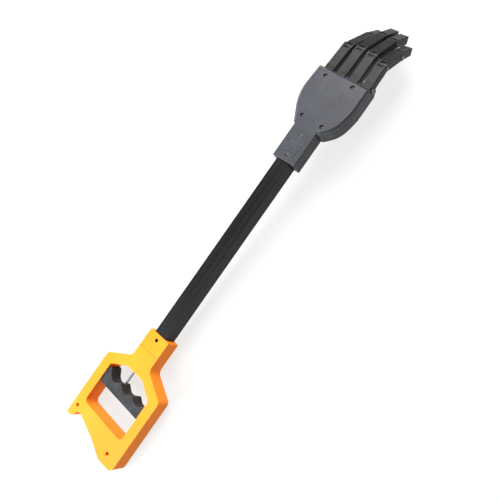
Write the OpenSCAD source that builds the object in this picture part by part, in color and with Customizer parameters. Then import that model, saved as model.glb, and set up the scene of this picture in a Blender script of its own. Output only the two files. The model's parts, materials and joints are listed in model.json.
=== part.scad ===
// Pull-trigger grabber arm: a loop handle, a square tube and a hand whose four fingers curl together.
// The model is drawn about the tube's axis and then set down so that its lowest point is at z = 0.
// +X runs from the handle to the fingers, +Y is the thumb side and +Z is the back of the hand.

/* [Tube] */
// Outside width of the square tube
tube_w = 17; // [16:0.5:18]
// Wall of the tube
tube_wall = 1; // [0.8:0.1:1]

/* [Handle] */
// Thickness of the handle and of both collars
handle_t = 20; // [20:0.5:22]
// Half the width across the two side bars
handle_half_w = 44.5; // [44:0.5:48]
// Inside half-width of the hand opening
window_half_w = 33; // [32.5:0.1:33.5]
// How far the trigger travels
trigger_travel = 22; // [15:1:23]
// Thickness of the trigger
trigger_t = 17; // [14:0.5:18]

/* [Hand] */
// Back of the hand above the tube's axis
hand_top = 11; // [10.5:0.5:12]
// Palm below the tube's axis
hand_floor = 10.5; // [10.5:0.5:12]
// Spacing of the fingers
finger_pitch = 17; // [16.8:0.1:17.1]
// Width of a finger
finger_w = 12.2; // [12:0.2:12.8]

/* [Fit] */
// Radial running clearance of the finger pins
pin_play = 0.05; // [0.03:0.01:0.1]
// Gap on each side of a part that turns or slides
side_gap = 0.3; // [0.3:0.05:0.4]

/* [Hidden] */
$fn = 48;
arc_steps = 8;

FINGERS = ["index", "middle", "ring", "little"];

yellow = "#f7be2b";
black = "#1c1d21";
grey = "#5a5c66";
gunmetal = "#34322f";
silver = "#d9dadf";

// Places along the arm
handle_rear_x = -260.5;
window_rear_x = -229.5;
trigger_rear_x = window_rear_x + trigger_travel + 6;
collar_front_x = -118.5;
neck_x = -155;
tube_back_x = -150;
wrist_back_x = 111.5;
tube_front_x = 135;
bulkhead_x = 152.5;
palm_floor_x = 214;
collar_half_w = 14.4;

// The loop sits slightly to the little finger's side of the tube
loop_y = -1.5;

// The pull rod lies beside the screws
rod_y = 6.1;
rod_r = 1.2;
plate_x = 196;
plate_t = 4;
plate_y = [-30.4, 24];
plate_z = [-8.2, 4];
wire_z = -6.2;
spring_r = 2.5;
spring_wire = 0.8;
spring_turns = 11;

// Fingers: bone lengths and how far each bone slopes down at rest
first_finger_y = 22.3;
knuckle = [222, -1.5];
bone_len = [[35.5, 38, 25], [38, 38.5, 27], [36.5, 37.5, 27], [30, 31, 23]];
bone_slope = [[1.5, 35, 44], [1.5, 31, 42], [1.5, 31, 42], [1.5, 32, 39]];
// The bones lean towards the hand's middle
lean = [-3, -1, 0.6, 2];
hub_r = 6;
ear_r = 5.4;
slot_r = 6.6;
slot_w = 6.6;
tongue_w = slot_w - 2 * side_gap;
tongue_r = 4.8;
child_clear_r = 5.9;
pin_r = 1.25;
axle_r = 1.5;
rib_w = finger_pitch - finger_w - 2 * side_gap - 0.2;
tip_r = 5;
inlay_t = 0.6;
inlay_w = 6.6;

// Thumb: seat on the palm, bend and tip
thumb_seat = [190, 16, -11];
thumb_bend = [201, 7, -27];
thumb_end = [206, -11, -47];
thumb_tip_r = 6.5;

function finger_y(f) = first_finger_y - f * finger_pitch;

// The middle finger's end and the thumb's end set the outside box
tip_x = knuckle[0] + bone_len[1][0] * cos(bone_slope[1][0]) + bone_len[1][1] * cos(bone_slope[1][1])
    + (bone_len[1][2] - tip_r) * cos(bone_slope[1][2]) + tip_r;
x_centre = (handle_rear_x + tip_x) / 2;
axis_z = thumb_tip_r - thumb_end[2];

// Outline helpers. A corner is [x, y, radius] and a list of them runs anticlockwise.
function unit(v) = v / norm(v);
function xy(c) = [c[0], c[1]];
function corner_arc(a, b, c, r) =
    let (u = unit(a - b), w = unit(c - b), half = acos(u * w) / 2,
         centre = b + unit(u + w) * r / sin(half),
         p = b + u * r / tan(half) - centre,
         q = b + w * r / tan(half) - centre,
         start = atan2(p[1], p[0]),
         turn = (atan2(q[1], q[0]) - start + 540) % 360 - 180)
    [for (i = [0:arc_steps]) let (a = start + turn * i / arc_steps) centre + r * [cos(a), sin(a)]];
function before(list, i) = list[(i + len(list) - 1) % len(list)];
function after(list, i) = list[(i + 1) % len(list)];
function smooth(c) = [for (i = [0:len(c) - 1])
    each corner_arc(xy(before(c, i)), xy(c[i]), xy(after(c, i)), c[i][2])];
function left_of(v) = unit([-v[1], v[0]]);
function inset(c, d) = [for (i = [0:len(c) - 1])
    let (e1 = xy(c[i]) - xy(before(c, i)), e2 = xy(after(c, i)) - xy(c[i]),
         n1 = left_of(e1), n2 = left_of(e2),
         p = xy(c[i]) + (n1 + n2) / (1 + n1 * n2) * d,
         outward = e1[0] * e2[1] - e1[1] * e2[0] > 0)
    [p[0], p[1], outward ? max(c[i][2] - d, 0.2) : c[i][2] + d]];

function sideways(c, d) = [for (p = c) [p[0], p[1] + d, p[2]]];

// Outlines seen from above
handle_outline = concat(
    [[neck_x, -collar_half_w, 8], [collar_front_x, -collar_half_w, 1.5],
     [collar_front_x, collar_half_w, 1.5], [neck_x, collar_half_w, 8]],
    sideways([
        [-171.5, handle_half_w, 7], [-255, handle_half_w, 3.5], [-251.5, 36, 2.5], [-242.5, 32, 5],
        [-243.5, 25, 20], [-251.5, -2, 40], [handle_rear_x, -23, 12], [-259.5, -handle_half_w, 6],
        [-171.5, -handle_half_w, 7]
    ], loop_y)
);
window_outline = sideways([
    [window_rear_x, -window_half_w, 5], [-178.5, -window_half_w, 4], [-167, -12.5, 5],
    [-167, 12.5, 5], [-178.5, window_half_w, 4], [window_rear_x, window_half_w, 5]
], loop_y);
grip_pocket = [
    [-256.5, -40, 5], [-233, -40, 2], [-233, 24, 2], [-240.5, 24, 3], [-248.5, -3, 20], [-257, -24, 8]
];
hand_outline = [
    [153.5, -18.5, 4], [165, -31.5, 30], [186, -37.6, 85], [219, -37.4, 1.5],
    [223, 31.6, 1.5], [190, 34.2, 48], [174, 28.5, 55], [153.5, 17, 4], [150.4, -0.8, 30]
];
hand_cavity = [
    [bulkhead_x, -14, 3], [164, -28.8, 26], [186, -35.3, 70], [206, -35.2, 1], [240, -35.2, 1],
    [240, 29, 1], [206, 29, 1], [190, 31.4, 42], [174.5, 26.4, 38], [bulkhead_x, 12.5, 3]
];
palm_plate_outline = [
    [156.5, -15, 4], [167, -27, 10], [187, -32.8, 15], [210, -32.8, 3],
    [210, 1, 3], [187, 0, 10], [168, 3, 10], [156.5, 10, 3]
];

// Puts the arm down with its lowest point on z = 0 and its middle over the origin
module place() translate([-x_centre, -loop_y, axis_z]) children();
// Extrudes a shape drawn in X and Z across the finger
module across(w) rotate([90, 0, 0]) linear_extrude(w, center = true) children();
// Extrudes a shape drawn in Y and Z along X
module along(x0, x1) translate([x0, 0, 0]) rotate([90, 0, 90]) linear_extrude(x1 - x0) children();
// Box between two corners
module block(a, b) translate(a) cube(b - a);

// Plate with a sloping edge round its top
module chamfered_plate(outline, z0, z1, c) {
    base = smooth(outline);
    top = smooth(inset(outline, c));
    n = len(base);
    translate([0, 0, z0]) linear_extrude(z1 - c - z0) polygon(base);
    polyhedron(
        [for (p = base) [p[0], p[1], z1 - c], for (p = top) [p[0], p[1], z1]],
        [[for (i = [0:n - 1]) i], [for (i = [2 * n - 1:-1:n]) i],
         for (i = [0:n - 1]) [(i + 1) % n, i, n + i, n + (i + 1) % n]]
    );
}

// Small hexagonal dimples in rows over a collar
module dimples(x0, columns, rows, z) {
    for (i = [0:columns - 1], j = [0:rows - 1])
        translate([x0 + i * 4.6, (j - (rows - 1) / 2) * 4.6, z])
            cylinder(r = 1, h = 1.2, center = true, $fn = 6);
}

// Handle
handle_screw_xy = [[-125, 0], [-239, 36], [-249, -30]];

module handle_half() {
    difference() {
        linear_extrude(handle_t / 2) difference() {
            polygon(smooth(handle_outline));
            polygon(smooth(window_outline));
        }
        difference() {
            translate([0, 0, -1]) linear_extrude(handle_t / 2 - 1.2) polygon(smooth(grip_pocket));
            translate([handle_screw_xy[2][0], handle_screw_xy[2][1], -2]) cylinder(r = 3.6, h = handle_t);
        }
        block([tube_back_x, -tube_w / 2, -1], [collar_front_x + 1, tube_w / 2, tube_w / 2]);
        translate([-175, rod_y, 0]) rotate([0, 90, 0]) cylinder(r = rod_r + 0.6, h = 30);
        block([-140.2, -20, handle_t / 2 - 0.5], [-139.4, 20, handle_t]);
    }
}

module handle_shell_top() place() color(yellow) difference() {
    handle_half();
    for (s = handle_screw_xy) translate([s[0], s[1], -1]) {
        cylinder(r = 1.6, h = handle_t);
        translate([0, 0, 6.2]) cylinder(r = 2.2, h = handle_t);
    }
}

module handle_shell_bottom() place() color(yellow) difference() {
    mirror([0, 0, 1]) handle_half();
    dimples(-136.6, 3, 5, -handle_t / 2);
    for (s = handle_screw_xy) translate([s[0], s[1], -8.5]) cylinder(r = 1.45, h = 10);
}

module screws(places, head_z, head_r, depth) {
    for (s = places) translate([s[0], s[1], head_z]) {
        translate([0, 0, -depth]) cylinder(r = 1.4, h = depth + 0.5);
        intersection() {
            cylinder(r = head_r, h = 3);
            translate([0, 0, 1.6 - 2.4 * head_r]) sphere(r = 2.4 * head_r);
        }
    }
}

module handle_screws() place() color(silver) screws(handle_screw_xy, 5.2, 2, 13);

// Trigger
trigger_half_w = window_half_w - side_gap;
trigger_profile = sideways([
    [trigger_rear_x, -trigger_half_w, 1], [-187, -trigger_half_w, 0.8], [-188, -30, 1],
    [-194.5, -22, 8], [-187.5, -12.5, 2], [-194, -2, 8], [-186.5, 8.5, 2.5], [-195, 19.5, 8],
    [-182, 29, 2], [-181.5, trigger_half_w, 1], [trigger_rear_x, trigger_half_w, 1]
], loop_y);

module trigger() place() color(black) difference() {
    translate([0, 0, -trigger_t / 2]) linear_extrude(trigger_t) polygon(smooth(trigger_profile));
    translate([-197, rod_y, 0]) rotate([0, 90, 0]) cylinder(r = rod_r + 0.03, h = 30);
}

module pull_rod() place() color(silver)
    translate([-196.8, rod_y, 0]) rotate([0, 90, 0]) cylinder(r = rod_r, h = plate_x + plate_t + 196.8);

// Coil spring between the hand's rear wall and the tendon plate
spring_steps = 12;
spring_sides = 6;
spring_x = [bulkhead_x + spring_wire / 2 + 0.1, plate_x - spring_wire / 2 - 0.1];
function coil_ring(i) =
    let (a = 360 * i / spring_steps,
         x = spring_x[0] + (spring_x[1] - spring_x[0]) * i / (spring_turns * spring_steps))
    [for (k = [0:spring_sides - 1])
        let (b = 360 * k / spring_sides, r = spring_r + spring_wire / 2 * cos(b))
        [x + spring_wire / 2 * sin(b), rod_y + r * cos(a), r * sin(a)]];

module return_spring() place() color(silver) {
    last = spring_turns * spring_steps;
    s = spring_sides;
    polyhedron(
        [for (i = [0:last]) each coil_ring(i)],
        [[for (k = [0:s - 1]) k], [for (k = [s - 1:-1:0]) last * s + k],
         for (i = [0:last - 1], k = [0:s - 1])
            [i * s + (k + 1) % s, i * s + k, (i + 1) * s + k, (i + 1) * s + (k + 1) % s]]
    );
}

// Tube
tube_hole_x = [-125, 118];

module tube() place() color(black) difference() {
    along(tube_back_x, tube_front_x) difference() {
        square(tube_w, center = true);
        square(tube_w - 2 * tube_wall, center = true);
    }
    for (x = tube_hole_x) translate([x, 0, 0]) cylinder(r = 1.6, h = 30, center = true);
}

// Hand
wrist_screw_xy = [[118, 0], [143, 0]];
rear_screw_xy = [[164, 12.3], [161.6, -16.2]];
front_screw_xy = [[213.3, 16.4], [213.3, -19.5]];
all_hand_screw_xy = concat(wrist_screw_xy, rear_screw_xy, front_screw_xy);
boss_r = 3;
cavity_top = 8;
cavity_floor = hand_floor - 2;
back_groove = [0.8, 0.5];

module wrist_half(z) {
    block([wrist_back_x, -collar_half_w, min(0, z)], [158, collar_half_w, max(0, z)]);
}

module tube_and_rod_space() {
    block([wrist_back_x - 1, -tube_w / 2, -tube_w / 2], [tube_front_x, tube_w / 2, tube_w / 2]);
    translate([tube_front_x - 1, rod_y, 0]) rotate([0, 90, 0]) cylinder(r = rod_r + 0.6, h = 30);
}

// Groove in the back of the hand from x0 to x1 at y
module back_line(x0, x1, y) block([x0, y - back_groove[0] / 2, hand_top - back_groove[1]],
                                  [x1, y + back_groove[0] / 2, hand_top + 1]);

module hand_back_shell() place() color(grey) difference() {
    union() {
        wrist_half(handle_t / 2);
        chamfered_plate(hand_outline, 0, hand_top, 2.6);
    }
    tube_and_rod_space();
    difference() {
        translate([0, 0, -1]) linear_extrude(cavity_top + 1) polygon(smooth(hand_cavity));
        for (s = rear_screw_xy) translate([s[0], s[1], -2]) cylinder(r = boss_r, h = 20);
    }
    for (y = cheek_y) cheek(y[0] - 0.2, y[1] + 0.2, 0.1);
    for (s = all_hand_screw_xy) translate([s[0], s[1], -1]) {
        cylinder(r = 1.6, h = 20);
        translate([0, 0, 9.6]) cylinder(r = 2.6, h = 20);
    }
    back_line(173, 206, 6);
    back_line(171, 204, -14);
    back_line(186, 202, 21);
    back_line(182, 195, -31.5);
    block([134.1, -20, handle_t / 2 - 0.5], [134.9, 20, handle_t]);
    block([113.2, -20, handle_t / 2 - 0.5], [114, 20, handle_t]);
    difference() {
        dimples(118.4, 4, 5, handle_t / 2);
        translate([wrist_screw_xy[0][0], 0, 0]) cylinder(r = 3.6, h = 20);
    }
}

module axle_bore(r) translate([knuckle[0], 0, knuckle[1]]) rotate([90, 0, 0])
    cylinder(r = r, h = 90, center = true);

// Side cheek of the palm that holds one end of the knuckle axle
cheek_y = [[29.2, 31.5], [-37.3, -35.4]];
cheek_r = 4.2;
module cheek(y0, y1, grow = 0) translate([0, (y0 + y1) / 2, 0]) across(y1 - y0) offset(delta = grow) {
    translate(knuckle) circle(r = cheek_r);
    polygon([[206, 0], [206, -cavity_floor], [knuckle[0] - 1, -cavity_floor],
             [knuckle[0] + cheek_r, knuckle[1]], [knuckle[0] + cheek_r - 0.4, 0]]);
}

module hand_palm_shell() place() color(grey) difference() {
    union() {
        wrist_half(-handle_t / 2);
        intersection() {
            mirror([0, 0, 1]) chamfered_plate(hand_outline, 0, hand_floor, 2.2);
            block([140, -60, -30], [palm_floor_x, 60, 0]);
        }
        for (y = cheek_y) cheek(y[0], y[1]);
    }
    tube_and_rod_space();
    difference() {
        translate([0, 0, -cavity_floor]) linear_extrude(cavity_floor + 1) polygon(smooth(hand_cavity));
        for (s = rear_screw_xy) translate([s[0], s[1], -20]) cylinder(r = boss_r, h = 30);
    }
    translate([0, 0, -hand_floor - 1]) linear_extrude(1.8) polygon(smooth(inset(palm_plate_outline, -0.2)));
    axle_bore(axle_r + 0.03);
    for (s = concat(wrist_screw_xy, rear_screw_xy)) translate([s[0], s[1], -9]) cylinder(r = 1.45, h = 12);
    dimples(118.4, 4, 5, -handle_t / 2);
}

module palm_plate() place() color(grey)
    translate([0, 0, -hand_floor]) linear_extrude(0.8) polygon(smooth(palm_plate_outline));

module hand_screws() place() color(silver) {
    screws(concat(wrist_screw_xy, rear_screw_xy), 8.6, 2.4, 16);
    screws(front_screw_xy, 8.6, 2.4, 9);
}

// Thumb: a cone that grows out of the palm and a rounded end, fixed together
module thumb_finger(grow) hull() {
    translate(thumb_bend) sphere(r = 6.8 + grow, $fn = 32);
    translate(thumb_end) sphere(r = thumb_tip_r + grow, $fn = 32);
}

module thumb_base() place() color(grey) difference() {
    hull() {
        translate(thumb_seat + [-2, 1, 0]) scale([1, 1, 0.35]) sphere(r = 14.5, $fn = 32);
        translate(thumb_bend) sphere(r = 7.9, $fn = 32);
    }
    block([150, -40, -hand_floor], [240, 60, 10]);
    thumb_finger(0.1);
}

module thumb_tip() place() color(grey) thumb_finger(0);

// Knuckles
bar_x = [206.4, 215.6];

module wires(x, length, r)
    for (f = [0:3]) translate([x, finger_y(f), wire_z]) rotate([0, 90, 0]) cylinder(r = r, h = length);

module knuckle_block() place() color(black) difference() {
    union() {
        block([bar_x[0], -35.1, -cavity_floor + 0.1], [bar_x[1], 28.9, cavity_top - 0.1]);
        for (f = [0:2]) translate([0, finger_y(f) - finger_pitch / 2, 0]) across(rib_w) {
            translate(knuckle) circle(r = 5.4);
            polygon([[bar_x[0], 3.4], [bar_x[0], -6.9], [knuckle[0], -6.9], [knuckle[0], 3.4]]);
        }
    }
    axle_bore(axle_r + 0.03);
    for (s = front_screw_xy) translate([s[0], s[1], -1]) cylinder(r = 1.45, h = 12);
    wires(200, 30, 1.5);
}

module knuckle_axle() place() color(silver)
    translate([knuckle[0], 31.4, knuckle[1]]) rotate([90, 0, 0]) cylinder(r = axle_r, h = 68.6);

// Moving plate that the rod pulls, and the four wires from it to the fingers
module tendon_plate() place() color(gunmetal) difference() {
    block([plate_x, plate_y[0], plate_z[0]], [plate_x + plate_t, plate_y[1], plate_z[1]]);
    translate([plate_x - 1, rod_y, 0]) rotate([0, 90, 0]) cylinder(r = rod_r + 0.03, h = 10);
    wires(plate_x - 1, 10, 0.93);
}

module finger_links() place() color(silver)
    wires(plate_x, 20.2, 0.9);

// Finger bones. Each is drawn from its own hinge along +X, with its back up.
module leaning(f) rotate([0, 0, lean[f]]) children();
module at_bone(f, bone) {
    translate([knuckle[0], finger_y(f), knuckle[1]]) rotate([0, bone_slope[f][0], 0])
        if (bone == 0) children();
        else leaning(f) translate([bone_len[f][0], 0, 0]) rotate([0, bone_slope[f][1] - bone_slope[f][0], 0])
            if (bone == 1) children();
            else translate([bone_len[f][1], 0, 0])
                rotate([0, bone_slope[f][2] - bone_slope[f][1], 0]) children();
}

// Cross-section of a bone: flat back, rounder palm side
module bone_section(w, low, high, palm_r) polygon(smooth([
    [-w / 2, -low, palm_r], [w / 2, -low, palm_r], [w / 2, high, 1.3], [-w / 2, high, 1.3]]));

module hinge_bore(x, r) translate([x, 0, 0]) rotate([90, 0, 0]) cylinder(r = r, h = 40, center = true);

// Fine ridges across the back of a bone, left between narrow grooves
module ridges(x0, count, z) for (i = [0:count - 1])
    block([x0 + i * 1.7, -10, z - 0.5], [x0 + i * 1.7 + 0.8, 10, z + 1]);

module proximal(f) {
    l = bone_len[f][0];
    difference() {
        union() {
            intersection() {
                across(finger_w) {
                    circle(r = hub_r);
                    polygon([[0, 6], [0, -5], [8, -5], [8, 6]]);
                }
                along(-10, 10) bone_section(finger_w, 6.4, 6.1, 4.2);
            }
            leaning(f) intersection() {
                across(finger_w) {
                    translate([l, 0]) circle(r = ear_r);
                    polygon([[6.8, 6], [6.8, -5], [7.5, -5], [8.5, -6.3], [l - 8.6, -6.3], [l, 0],
                             [l - 0.8, 5.2], [l - 1.4, 6]]);
                }
                along(-10, l + 10) bone_section(finger_w, 6.4, 6.1, 4.2);
            }
        }
        hinge_bore(0, axle_r + pin_play);
        ridges(3.4, 3, 6);
        leaning(f) {
            translate([l, 0, 0]) across(slot_w) circle(r = slot_r);
            hinge_bore(l, pin_r + 0.03);
            ridges(l - 5, 2, 6);
        }
    }
}

module middle_phalanx(f) {
    l = bone_len[f][1];
    difference() {
        union() {
            difference() {
                intersection() {
                    across(finger_w - 0.4) {
                        translate([l, 0]) circle(r = 5.1);
                        polygon([[2, 5.4], [2, 0], [3.4, -5.2], [l - 4.4, -5.2], [l, 0], [l - 1.2, 4.8],
                                 [l - 2, 5.4]]);
                    }
                    along(-5, l + 10) bone_section(finger_w - 0.4, 5.3, 5.5, 2.6);
                }
                across(30) circle(r = child_clear_r);
            }
            across(tongue_w) {
                circle(r = tongue_r);
                polygon([[0, -4.3], [8, -4.3], [8, 4.3], [0, 4.3]]);
            }
        }
        translate([l, 0, 0]) across(slot_w) circle(r = slot_r - 0.4);
        hinge_bore(0, pin_r + pin_play);
        hinge_bore(l, pin_r + 0.03);
        ridges(7, 2, 5.4);
        for (s = strips_1(f)) inlay_pocket(s, -5.2);
    }
}

module fingertip(f) {
    l = bone_len[f][2];
    difference() {
        union() {
            difference() {
                intersection() {
                    across(finger_w - 0.8) {
                        translate([l - tip_r, 0]) circle(r = tip_r);
                        polygon([[2, 5], [2, 0], [3.2, -5], [l - tip_r, -5], [l - tip_r, 5]]);
                    }
                    along(-5, l + 10) bone_section(finger_w - 0.8, 5.1, 5.1, 2.4);
                    linear_extrude(30, center = true) polygon(smooth([
                        [-6, -finger_w / 2, 1], [l, -finger_w / 2 + 0.4, 4.5],
                        [l, finger_w / 2 - 0.4, 4.5], [-6, finger_w / 2, 1]]));
                }
                across(30) circle(r = child_clear_r - 0.4);
            }
            difference() {
                translate([button_x, 0, -6]) cylinder(r = 4.1, h = 2);
                across(30) circle(r = child_clear_r - 0.4);
            }
            across(tongue_w) {
                circle(r = tongue_r - 0.2);
                polygon([[0, -4.1], [7, -4.1], [7, 4.1], [0, 4.1]]);
            }
        }
        hinge_bore(0, pin_r + pin_play);
        translate([button_x, 0, -6.5]) cylinder(r = 2.1, h = 1.3);
        inlay_pocket(strip_2(f), -5);
    }
}

// Bright strips let into the palm side: [start, end] along the bone
button_x = 6;
function strips_1(f) = let (l = bone_len[f][1])
    [[8, l * 0.47], [l * 0.47 + 1.4, l * 0.74], [l * 0.74 + 1.2, l * 0.74 + 2.8]];
function strip_2(f) = [11.2, bone_len[f][2] - 5.6];
module inlay_pocket(s, z) block([s[0], -inlay_w / 2, z - 1], [s[1], inlay_w / 2, z + inlay_t]);
module inlay(s, z)
    block([s[0] + 0.05, -inlay_w / 2 + 0.05, z], [s[1] - 0.05, inlay_w / 2 - 0.05, z + inlay_t]);

// Hinge pin with a rivet head at each end
module hinge_pin(x, w) translate([x, 0, 0]) rotate([90, 0, 0]) {
    cylinder(r = pin_r, h = w + 0.6, center = true);
    for (s = [-1, 1]) translate([0, 0, s * (w / 2 + 0.35)]) cylinder(r = 1.7, h = 0.6, center = true);
}

module finger_proximal(f) place() color(gunmetal) at_bone(f, 0) proximal(f);
module finger_middle(f) place() color(gunmetal) at_bone(f, 1) middle_phalanx(f);
module finger_tip(f) place() color(gunmetal) at_bone(f, 2) fingertip(f);
module finger_pin_1(f) place() color(silver) at_bone(f, 0) leaning(f) hinge_pin(bone_len[f][0], finger_w);
module finger_pin_2(f) place() color(silver) at_bone(f, 1) hinge_pin(bone_len[f][1], finger_w - 0.4);
module finger_inlay_1(f) place() color(silver) at_bone(f, 1) for (s = strips_1(f)) inlay(s, -5.2);
module finger_inlay_2(f) place() color(silver) at_bone(f, 2) {
    inlay(strip_2(f), -5);
    translate([button_x, 0, -6.3]) cylinder(r = 2.05, h = 1.1);
}

handle_shell_top();
handle_shell_bottom();
handle_screws();
trigger();
pull_rod();
return_spring();
tube();
hand_back_shell();
hand_palm_shell();
palm_plate();
thumb_base();
thumb_tip();
hand_screws();
knuckle_block();
knuckle_axle();
tendon_plate();
finger_links();
for (f = [0:3]) {
    finger_proximal(f);
    finger_middle(f);
    finger_tip(f);
    finger_pin_1(f);
    finger_pin_2(f);
    finger_inlay_1(f);
    finger_inlay_2(f);
}
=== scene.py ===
"""Pull-trigger robot hand grabber: materials, fine detail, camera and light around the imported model.

Lengths in mm are in the arm's own frame: its origin is on the tube's axis, +X runs to the fingers,
+Y is the thumb side and +Z is the back of the hand. at() turns them into the row frame in metres.
"""
import json
from math import atan, cos, pi, radians, sin, sqrt

import bmesh
import bpy
from mathutils import Matrix, Vector


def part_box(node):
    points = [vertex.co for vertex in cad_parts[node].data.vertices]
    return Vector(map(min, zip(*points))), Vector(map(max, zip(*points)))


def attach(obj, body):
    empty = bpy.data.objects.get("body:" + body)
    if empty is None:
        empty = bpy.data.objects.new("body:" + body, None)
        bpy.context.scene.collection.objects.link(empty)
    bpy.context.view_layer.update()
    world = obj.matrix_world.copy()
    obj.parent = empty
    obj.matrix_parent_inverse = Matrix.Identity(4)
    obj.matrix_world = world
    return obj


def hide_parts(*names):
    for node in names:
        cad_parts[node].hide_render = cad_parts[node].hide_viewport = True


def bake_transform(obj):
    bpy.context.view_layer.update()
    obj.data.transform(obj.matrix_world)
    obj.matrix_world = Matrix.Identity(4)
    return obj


MM = 0.001
TUBE_BACK_X = -150

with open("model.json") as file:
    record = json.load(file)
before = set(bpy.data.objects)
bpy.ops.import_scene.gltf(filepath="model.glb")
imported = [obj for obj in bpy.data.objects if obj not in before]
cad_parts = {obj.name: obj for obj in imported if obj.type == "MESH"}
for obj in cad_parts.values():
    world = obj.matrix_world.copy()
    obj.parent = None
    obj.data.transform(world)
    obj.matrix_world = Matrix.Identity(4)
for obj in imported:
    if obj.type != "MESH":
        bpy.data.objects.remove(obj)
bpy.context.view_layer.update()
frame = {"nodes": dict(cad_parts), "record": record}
nodes = frame["nodes"]
tube_low, tube_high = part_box("tube")
tube_middle = (tube_low + tube_high) / 2
AXIS_ORIGIN = Vector((tube_low.x - TUBE_BACK_X * MM, tube_middle.y, tube_middle.z))


def at(x, y, z):
    """A place in the arm's frame, in mm, as a vector in the row frame, in metres."""
    return AXIS_ORIGIN + Vector((x, y, z)) * MM


# ---------------------------------------------------------------- materials

def new_material(name):
    """An empty node material with its shader, and a helper that adds nodes to it."""
    mat = bpy.data.materials.new(name)
    mat.use_nodes = True
    tree = mat.node_tree
    shader = tree.nodes["Principled BSDF"]

    def add(kind, **values):
        node = tree.nodes.new(kind)
        for key, value in values.items():
            if key in node.inputs.keys():
                node.inputs[key].default_value = value
            else:
                setattr(node, key, value)
        return node

    return mat, tree.links.new, shader, add


def mapped_noise(link, add, scale, stretch=(1, 1, 1), detail=3.0, roughness=0.5):
    """Noise in object space, scale waves to the metre, stretched along the axes."""
    coords = add("ShaderNodeTexCoord")
    mapping = add("ShaderNodeMapping")
    mapping.inputs["Scale"].default_value = stretch
    link(coords.outputs["Object"], mapping.inputs["Vector"])
    noise = add("ShaderNodeTexNoise", Scale=scale, Detail=detail, Roughness=roughness)
    link(mapping.outputs["Vector"], noise.inputs["Vector"])
    return noise


def ramp(link, add, source, low, high, dark, light):
    """Colour ramp that source drives, dark at low and light at high."""
    node = add("ShaderNodeValToRGB")
    node.color_ramp.elements[0].position = low
    node.color_ramp.elements[0].color = (*dark, 1)
    node.color_ramp.elements[1].position = high
    node.color_ramp.elements[1].color = (*light, 1)
    link(source, node.inputs["Fac"])
    return node


def spread(link, add, source, low, high):
    """Maps 0..1 to low..high."""
    node = add("ShaderNodeMapRange")
    node.inputs["To Min"].default_value = low
    node.inputs["To Max"].default_value = high
    link(source, node.inputs["Value"])
    return node


EDGE_HIGHLIGHT_AND_WEAR_WIDTH = 0.0006
# Cosine between the true and the rounded normal, where the painted edge highlight and wear start and where
# they are full
EDGE_HIGHLIGHT_AND_WEAR_RANGE = (0.995, 0.93)
# How far the painted recess shade looks for walls, and the openness where it is full and where it ends
RECESS_REACH = 0.0025
RECESS_RANGE = (0.5, 0.96)
ROUGHNESS_SPREAD = 0.08


def moulded(name, dark, light, roughness, grain=900, grain_depth=0.00003, metallic=0.0, mottle=30,
            specular=0.5, edge_highlight_and_wear=None, recess_shade=None):
    """Moulded plastic: slow colour drift, uneven gloss and fine grain.

    The edge colour is a paler colour painted along edges as highlight and wear; recess_shade is a factor of
    painted shade that darkens grooves and dimples.
    """
    mat, link, shader, add = new_material(name)
    drift = mapped_noise(link, add, mottle, detail=4)
    colour = ramp(link, add, drift.outputs["Fac"], 0.32, 0.7, dark, light).outputs["Color"]
    # Painted highlight and wear: sharp edges turn towards the paler edge colour
    if edge_highlight_and_wear:
        geometry = add("ShaderNodeNewGeometry")
        rounded = add("ShaderNodeBevel", samples=4, Radius=EDGE_HIGHLIGHT_AND_WEAR_WIDTH)
        facing = add("ShaderNodeVectorMath", operation="DOT_PRODUCT")
        link(rounded.outputs["Normal"], facing.inputs[0])
        link(geometry.outputs["Normal"], facing.inputs[1])
        edges = add("ShaderNodeMapRange")
        edges.inputs["From Min"].default_value = EDGE_HIGHLIGHT_AND_WEAR_RANGE[0]
        edges.inputs["From Max"].default_value = EDGE_HIGHLIGHT_AND_WEAR_RANGE[1]
        link(facing.outputs["Value"], edges.inputs["Value"])
        mix = add("ShaderNodeMix", data_type="RGBA")
        mix.inputs["B"].default_value = (*edge_highlight_and_wear, 1)
        link(edges.outputs["Result"], mix.inputs["Factor"])
        link(colour, mix.inputs["A"])
        colour = mix.outputs["Result"]
    # Painted shade: the colour is darkened in grooves, dimples and screw recesses, where ambient occlusion
    # finds nearby walls
    if recess_shade is not None:
        hollow = add("ShaderNodeAmbientOcclusion", samples=8, Distance=RECESS_REACH)
        shade = add("ShaderNodeMapRange")
        shade.inputs["From Min"].default_value = RECESS_RANGE[0]
        shade.inputs["From Max"].default_value = RECESS_RANGE[1]
        shade.inputs["To Min"].default_value = recess_shade
        link(hollow.outputs["AO"], shade.inputs["Value"])
        darken = add("ShaderNodeMix", data_type="RGBA", blend_type="MULTIPLY")
        darken.inputs["Factor"].default_value = 1.0
        link(colour, darken.inputs["A"])
        link(shade.outputs["Result"], darken.inputs["B"])
        colour = darken.outputs["Result"]
    link(colour, shader.inputs["Base Color"])
    gloss = mapped_noise(link, add, mottle * 3, detail=5, roughness=0.6)
    rough = spread(link, add, gloss.outputs["Fac"], roughness - ROUGHNESS_SPREAD,
                   roughness + ROUGHNESS_SPREAD)
    link(rough.outputs["Result"], shader.inputs["Roughness"])
    fine = mapped_noise(link, add, grain, detail=2)
    bump = add("ShaderNodeBump", Strength=0.35, Distance=grain_depth)
    link(fine.outputs["Fac"], bump.inputs["Height"])
    link(bump.outputs["Normal"], shader.inputs["Normal"])
    shader.inputs["Metallic"].default_value = metallic
    shader.inputs["Specular IOR Level"].default_value = specular
    return mat


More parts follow.
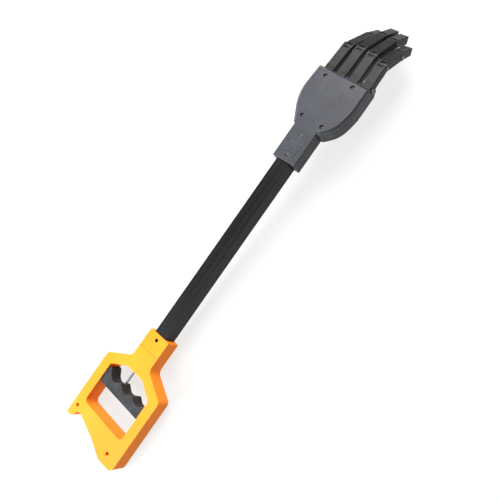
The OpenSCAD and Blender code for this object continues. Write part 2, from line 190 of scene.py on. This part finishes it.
def streaked(name, dark, light, roughness, stretch, metallic, grain=260, depth=0.00002, specular=0.5):
    """Drawn or extruded surface: fine streaks along one axis in colour, gloss and height."""
    mat, link, shader, add = new_material(name)
    streaks = mapped_noise(link, add, grain, stretch=stretch, detail=4)
    colour = ramp(link, add, streaks.outputs["Fac"], 0.3, 0.72, dark, light)
    link(colour.outputs["Color"], shader.inputs["Base Color"])
    rough = spread(link, add, streaks.outputs["Fac"], roughness - 0.06, roughness + 0.08)
    link(rough.outputs["Result"], shader.inputs["Roughness"])
    bump = add("ShaderNodeBump", Strength=0.3, Distance=depth)
    link(streaks.outputs["Fac"], bump.inputs["Height"])
    link(bump.outputs["Normal"], shader.inputs["Normal"])
    shader.inputs["Metallic"].default_value = metallic
    shader.inputs["Specular IOR Level"].default_value = specular
    return mat


ALONG_ARM = (0.04, 1, 1)
materials = {
    "yellow_plastic": moulded("yellow_plastic", (0.90, 0.215, 0.010), (0.98, 0.255, 0.015), 0.45, mottle=14,
                              specular=0.08, edge_highlight_and_wear=(1.0, 0.33, 0.04)),
    "black_plastic": moulded("black_plastic", (0.010, 0.011, 0.0125), (0.030, 0.034, 0.040), 0.5, mottle=130,
                             specular=0.12, edge_highlight_and_wear=(0.07, 0.075, 0.085), recess_shade=0.35),
    "tube_black": streaked("tube_black", (0.004, 0.0044, 0.0052), (0.009, 0.010, 0.0115), 0.35,
                           ALONG_ARM, 0.0, depth=0.000006, specular=0.12),
    "grey_plastic": moulded("grey_plastic", (0.028, 0.030, 0.037), (0.038, 0.041, 0.051), 0.42, grain=2200,
                            grain_depth=0.00003, mottle=45, specular=0.2,
                            edge_highlight_and_wear=(0.14, 0.145, 0.158), recess_shade=0.15),
    "finger_plastic": moulded("finger_plastic", (0.0055, 0.0053, 0.0052), (0.0115, 0.011, 0.0108), 0.42,
                              mottle=110, specular=0.15, edge_highlight_and_wear=(0.06, 0.058, 0.054), recess_shade=0.3),
    "silver_trim": streaked("silver_trim", (0.55, 0.55, 0.58), (0.78, 0.78, 0.8), 0.34, (0.2, 1, 1), 0.6,
                            grain=500),
    "steel": streaked("steel", (0.13, 0.13, 0.14), (0.3, 0.3, 0.315), 0.36, (0.1, 1, 1), 0.9, grain=600),
    "screw_steel": moulded("screw_steel", (0.035, 0.035, 0.038), (0.11, 0.11, 0.115), 0.5, mottle=400,
                           metallic=0.8, recess_shade=0.1),
}


# ---------------------------------------------------------------- CAD nodes

# Width of the rounded edges of each kind of part, in mm
EDGE_ROUND = {"yellow_plastic": 1.6, "black_plastic": 0.5, "tube_black": 1.0, "grey_plastic": 0.5,
              "finger_plastic": 0.35, "silver_trim": 0.12, "steel": 0.3}
SMOOTH_ANGLE = radians(32)
FLAT_ANGLE = radians(1.5)


def round_edges(obj, width_mm, segments=3):
    """Merges flat facets and rounds the sharp edges of obj by modifiers, with smooth shading."""
    merge = obj.modifiers.new("merge_flats", "DECIMATE")
    merge.decimate_type = "DISSOLVE"
    merge.angle_limit = FLAT_ANGLE
    bevel = obj.modifiers.new("round_edges", "BEVEL")
    bevel.width = width_mm * MM
    bevel.segments = segments
    bevel.limit_method = "ANGLE"
    bevel.angle_limit = SMOOTH_ANGLE
    bevel.miter_outer = "MITER_ARC"
    bevel.use_clamp_overlap = True
    bevel.harden_normals = True


def dress_cad_node(name, slot_name):
    """Gives a carried-over CAD node its material, smooth shading and rounded edges."""
    obj = nodes[name]
    obj.data.materials.clear()
    obj.data.materials.append(materials[slot_name])
    normal_data = obj.data.attributes.get("custom_normal")
    if normal_data:
        obj.data.attributes.remove(normal_data)
    obj.data.polygons.foreach_set("use_smooth", [True] * len(obj.data.polygons))
    obj.data.set_sharp_from_angle(angle=SMOOTH_ANGLE)
    round_edges(obj, EDGE_ROUND[slot_name])


for part in frame["record"]["subparts"]:
    dress_cad_node(part["node"], part["material_slot"])


# ---------------------------------------------------------------- screws

HANDLE_HEAD_Z, HAND_HEAD_Z = 5.2, 8.6
HANDLE_HEAD_RADIUS, HAND_HEAD_RADIUS = 2, 2.4
HANDLE_SHANK, LONG_SHANK, SHORT_SHANK = 13, 16, 9
HEAD_SEGMENTS = 64
HEAD_RINGS = 14
CROSS_HALF_WIDTH = 0.17
CROSS_REACH = 0.62
CROSS_DEPTH = 0.55
DOME_RISE = 1.6
DOME_RADIUS = 2.4
SHANK_RADIUS = 1.4


def in_cross(x, y):
    """How deep the cross recess is at x, y, from 0 outside it to 1 in the middle; the head's radius is 1."""
    on_arm = min(abs(x), abs(y)) < CROSS_HALF_WIDTH
    reach = max(abs(x), abs(y))
    return (1 - 0.6 * reach / CROSS_REACH) if on_arm and reach < CROSS_REACH else 0


def add_screw(bm, place, turn, head_radius, length):
    """Domed screw with a cross recess, head underside at place, turned by an angle, pointing down."""
    def ring(radius, height_of):
        verts = []
        for i in range(HEAD_SEGMENTS):
            angle = 2 * pi * i / HEAD_SEGMENTS
            x, y = radius * cos(angle + turn), radius * sin(angle + turn)
            z = height_of(radius * cos(angle) / head_radius, radius * sin(angle) / head_radius)
            verts.append(bm.verts.new(at(place[0] + x, place[1] + y, place[2] + z)))
        return verts

    def dome(u, v):
        sphere = DOME_RADIUS * head_radius
        r2 = (u * u + v * v) * head_radius ** 2
        return DOME_RISE - sphere + sqrt(sphere ** 2 - r2) - CROSS_DEPTH * in_cross(u, v)

    top = bm.verts.new(at(place[0], place[1], place[2] + dome(0, 0)))
    rings = [ring(head_radius * (i + 1) / HEAD_RINGS, dome) for i in range(HEAD_RINGS)]
    rings.append(ring(head_radius, lambda u, v: 0))
    rings.append(ring(SHANK_RADIUS, lambda u, v: 0))
    rings.append(ring(SHANK_RADIUS, lambda u, v: -length))
    tip = bm.verts.new(at(place[0], place[1], place[2] - length))
    for i in range(HEAD_SEGMENTS):
        j = (i + 1) % HEAD_SEGMENTS
        bm.faces.new((top, rings[0][i], rings[0][j]))
        for inner, outer in zip(rings, rings[1:]):
            bm.faces.new((inner[i], outer[i], outer[j], inner[j]))
        bm.faces.new((rings[-1][i], tip, rings[-1][j]))


def new_piece(name, bm, material, node):
    """The mesh in bm as a smooth piece that stands for a CAD node."""
    mesh = bpy.data.meshes.new(name)
    bm.to_mesh(mesh)
    bm.free()
    mesh.polygons.foreach_set("use_smooth", [True] * len(mesh.polygons))
    mesh.set_sharp_from_angle(angle=SMOOTH_ANGLE)
    mesh.materials.append(materials[material])
    obj = bpy.data.objects.new(name, mesh)
    bpy.context.scene.collection.objects.link(obj)
    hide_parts(node)
    return obj


def make_screws(name, node, screws):
    """One piece with all the screws of a CAD node; screws lists place, turn, head radius and length."""
    bm = bmesh.new()
    for place, turn, head_radius, length in screws:
        add_screw(bm, place, turn, head_radius, length)
    bmesh.ops.recalc_face_normals(bm, faces=bm.faces)
    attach(new_piece(name, bm, "screw_steel", node), "root")


HANDLE_SCREW_XY = ((-125, 0), (-239, 36), (-249, -30))
LONG_SCREW_XY = ((118, 0), (143, 0), (164, 12.3), (161.6, -16.2))
SHORT_SCREW_XY = ((213.3, 16.4), (213.3, -19.5))
TURNS = (0.2, 1.0, 0.6, 1.3, 0.4, 0.9)
make_screws("handle_screw_set", "handle_screws",
            [((x, y, HANDLE_HEAD_Z), turn, HANDLE_HEAD_RADIUS, HANDLE_SHANK)
             for (x, y), turn in zip(HANDLE_SCREW_XY, TURNS)])
make_screws("hand_screw_set", "hand_screws",
            [((x, y, HAND_HEAD_Z), turn, HAND_HEAD_RADIUS, LONG_SHANK)
             for (x, y), turn in zip(LONG_SCREW_XY, TURNS)]
            + [((x, y, HAND_HEAD_Z), turn, HAND_HEAD_RADIUS, SHORT_SHANK)
               for (x, y), turn in zip(SHORT_SCREW_XY, TURNS[4:])])


# ---------------------------------------------------------------- return spring

SPRING_TURNS = 11
SPRING_STEPS = 32
WIRE_SIDES = 12
WIRE_RADIUS = 0.4 * MM


def make_spring():
    """Coil spring from the hand's rear wall to the tendon plate, built once at its rest length."""
    low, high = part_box("return_spring")
    middle = (low + high) / 2
    coil_radius = (high.y - low.y) / 2 - WIRE_RADIUS
    first_x, last_x = low.x + WIRE_RADIUS, high.x - WIRE_RADIUS
    steps = SPRING_TURNS * SPRING_STEPS
    bm = bmesh.new()
    rings = []
    for i in range(steps + 1):
        angle = 2 * pi * i / SPRING_STEPS
        x = first_x + (last_x - first_x) * i / steps
        ring = []
        for k in range(WIRE_SIDES):
            side = 2 * pi * k / WIRE_SIDES
            reach = coil_radius + WIRE_RADIUS * cos(side)
            ring.append(bm.verts.new((x + WIRE_RADIUS * sin(side), middle.y + reach * cos(angle),
                                      middle.z + reach * sin(angle))))
        rings.append(ring)
    for near, far in zip(rings, rings[1:]):
        for k in range(WIRE_SIDES):
            j = (k + 1) % WIRE_SIDES
            bm.faces.new((near[k], near[j], far[j], far[k]))
    bm.faces.new(rings[0])
    bm.faces.new(rings[-1])
    bmesh.ops.recalc_face_normals(bm, faces=bm.faces)
    obj = new_piece("coil_spring", bm, "steel", "return_spring")
    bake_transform(obj)


make_spring()


# ---------------------------------------------------------------- floor, light and camera

def look_along(forward, up):
    """Rotation of a camera or lamp that looks along forward with up upwards."""
    back = -Vector(forward).normalized()
    right = Vector(up).cross(back).normalized()
    true_up = back.cross(right)
    return Matrix((right, true_up, back)).transposed()


FLOOR_GLOW = 0.76
FLOOR_HALF = 4.0
FLOOR_GAP = 0.0006
THUMB_TOUCH_INSET = 0.0065


def make_floor():
    """Pale floor that touches the thumb's end and the rear edge of the handle's underside."""
    thumb_low, thumb_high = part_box("thumb_tip")
    rear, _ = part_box("handle_shell_bottom")
    touch_x = thumb_high.x - THUMB_TOUCH_INSET
    rise = rear.z - thumb_low.z
    run = touch_x - rear.x
    tilt = atan(rise / run)
    mesh = bpy.data.meshes.new("floor")
    corners = [(-1, -1), (1, -1), (1, 1), (-1, 1)]
    mesh.from_pydata([(x * FLOOR_HALF, y * FLOOR_HALF, 0) for x, y in corners], [], [(0, 1, 2, 3)])
    obj = bpy.data.objects.new("floor", mesh)
    bpy.context.scene.collection.objects.link(obj)
    obj.rotation_euler = (0, tilt, 0)
    obj.location = Vector((touch_x, 0, thumb_low.z - FLOOR_GAP))
    mat, link, shader, add = new_material("floor_paper")
    paper = mapped_noise(link, add, 300, detail=4)
    colour = ramp(link, add, paper.outputs["Fac"], 0.3, 0.7, (0.11, 0.11, 0.109), (0.13, 0.13, 0.129))
    link(colour.outputs["Color"], shader.inputs["Base Color"])
    shader.inputs["Roughness"].default_value = 0.85
    shader.inputs["Emission Color"].default_value = (1.0, 1.0, 0.99, 1)
    shader.inputs["Emission Strength"].default_value = FLOOR_GLOW
    mesh.materials.append(mat)


def area_light(name, place, target, size, power, colour=(1, 1, 1)):
    """Square soft light at place, in metres, facing target."""
    data = bpy.data.lights.new(name, "AREA")
    data.size = size
    data.energy = power
    data.color = colour
    obj = bpy.data.objects.new(name, data)
    bpy.context.scene.collection.objects.link(obj)
    direction = Vector(target) - Vector(place)
    obj.matrix_world = Matrix.Translation(place) @ look_along(direction, (0, 1, 0.01)).to_4x4()


SKY_LIGHT = 0.22
SKY_SEEN = 0.86


def make_world():
    """Even pale surroundings, dimmer as light than as seen beyond the floor."""
    world = bpy.data.worlds.new("studio")
    world.use_nodes = True
    tree = world.node_tree
    background = tree.nodes["Background"]
    background.inputs["Color"].default_value = (0.93, 0.96, 1.0, 1)
    rays = tree.nodes.new("ShaderNodeLightPath")
    strength = tree.nodes.new("ShaderNodeMath")
    strength.operation = "MULTIPLY_ADD"
    strength.inputs[1].default_value = SKY_SEEN - SKY_LIGHT
    strength.inputs[2].default_value = SKY_LIGHT
    tree.links.new(rays.outputs["Is Camera Ray"], strength.inputs[0])
    tree.links.new(strength.outputs["Value"], background.inputs["Strength"])
    bpy.context.scene.world = world


def make_camera():
    """Camera at the photograph's angle: from above the tube's middle, on the little finger's side."""
    data = bpy.data.cameras.new("camera")
    data.sensor_width = 36
    data.lens = 35.83
    data.clip_start = 0.01
    obj = bpy.data.objects.new("camera", data)
    bpy.context.scene.collection.objects.link(obj)
    forward = (-0.0148, 0.4696, -0.8828)
    up = (0.8187, 0.5125, 0.2589)
    obj.matrix_world = Matrix.Translation(at(20.44, -273.91, 468.27)) @ look_along(forward, up).to_4x4()
    bpy.context.scene.camera = obj


make_floor()
area_light("rear_light", (-1.05, 0.35, 1.15), (0, 0, 0.05), 1.0, 45, (1.0, 0.99, 0.97))
area_light("front_light", (1.05, 0.35, 1.15), (0, 0, 0.05), 1.0, 45, (1.0, 0.99, 0.97))
area_light("thumb_side_light", (0.0, 1.7, 0.95), (0, 0, 0.05), 1.0, 12)
make_world()
make_camera()
bpy.context.scene.view_settings.view_transform = "Standard"
